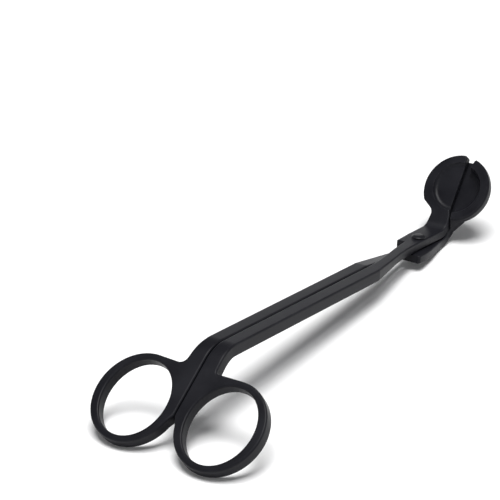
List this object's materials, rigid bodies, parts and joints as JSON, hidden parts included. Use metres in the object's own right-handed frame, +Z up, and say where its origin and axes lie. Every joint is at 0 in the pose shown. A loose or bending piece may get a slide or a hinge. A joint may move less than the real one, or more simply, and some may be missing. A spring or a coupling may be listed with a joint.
{
  "type": "wick trimmer",
  "caption": "Long bent scissor-type wick trimmer: two levers with finger rings cross at a rivet and end in a round cutting dish.",
  "frame": {"origin": "middle of the footprint, on the table that the tool lies on", "axes": "+Y from the finger rings to the head, +X to the right of someone holding it, +Z up"},
  "size_m": [0.0576, 0.1824, 0.0259],
  "materials": {
    "satin_black_paint": "satin",
    "black_rivet": "satin"
  },
  "bodies": {
    "lower": {"lower_lever": "satin_black_paint", "pivot_rivet": "black_rivet"},
    "upper": {"upper_lever": "satin_black_paint"}
  },
  "joints": [
    {"name": "pivot", "type": "hinge", "parent": "lower", "child": "upper", "pos_m": [-0.0012, 0.05655, 0.00778], "axis": [0, 0.1317, 0.9913], "range_deg": [0, 30]}
  ]
}
